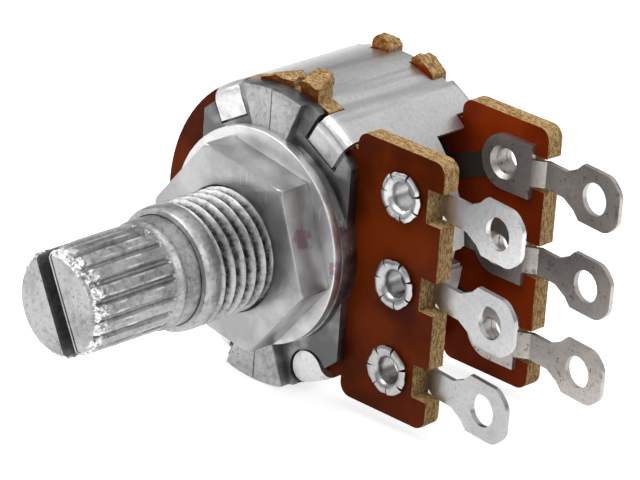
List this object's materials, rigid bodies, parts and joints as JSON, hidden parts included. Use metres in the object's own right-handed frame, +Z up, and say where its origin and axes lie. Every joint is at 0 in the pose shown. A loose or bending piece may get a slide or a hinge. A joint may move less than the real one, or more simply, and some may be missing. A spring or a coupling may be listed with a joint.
{
  "type": "rotary potentiometer",
  "caption": "Dual-gang rotary potentiometer with a knurled, slotted shaft, threaded bushing, hex nut and washer, and solder lugs.",
  "frame": {"origin": "on the shaft's axis, at the face of the two pads and the round seat that lie against the panel or washer", "axes": "-Y along the shaft towards its tip, +X towards the terminals, +Z up"},
  "size_m": [0.0254, 0.0258, 0.018],
  "materials": {
    "die_cast_zinc": "bare die-cast zinc, satin, with scratches",
    "nickel_plated_steel": "dull nickel plate with scuffs",
    "tinned_steel": "satin tin plate with small dents and streaks",
    "phenolic_paper": "deep red-brown resin face with pale fibrous edges",
    "tinned_brass_bright": "bright tin with pits",
    "tinned_brass_dull": "dull brownish tin with dark specks",
    "spring_steel": "dark oiled spring steel",
    "spring_bronze": "plain spring bronze",
    "acetal": "natural moulded acetal",
    "carbon_film": "printed carbon",
    "silver_film": "printed silver ink"
  },
  "bodies": {
    "housing": {"bushing_plate": "die_cast_zinc", "washer": "nickel_plated_steel", "hex_nut": "nickel_plated_steel", "front_wafer": "phenolic_paper", "rear_wafer": "phenolic_paper", "case_shell": "tinned_steel", "front_terminal_1": "tinned_brass_bright", "front_terminal_2": "tinned_brass_bright", "front_terminal_3": "tinned_brass_bright", "rear_terminal_1": "tinned_brass_dull", "rear_terminal_2": "tinned_brass_dull", "rear_terminal_3": "tinned_brass_dull", "front_track": "carbon_film", "rear_track": "carbon_film", "front_collector": "silver_film", "rear_collector": "silver_film"},
    "rotor": {"shaft": "die_cast_zinc", "shaft_clip": "spring_steel", "rotor": "acetal", "front_wiper": "spring_bronze", "rear_wiper": "spring_bronze"}
  },
  "joints": [
    {"name": "shaft_turn", "type": "hinge", "parent": "housing", "child": "rotor", "pos_m": [0, 0, 0], "axis": [0, 1, 0], "range_deg": [-150, 150]}
  ]
}
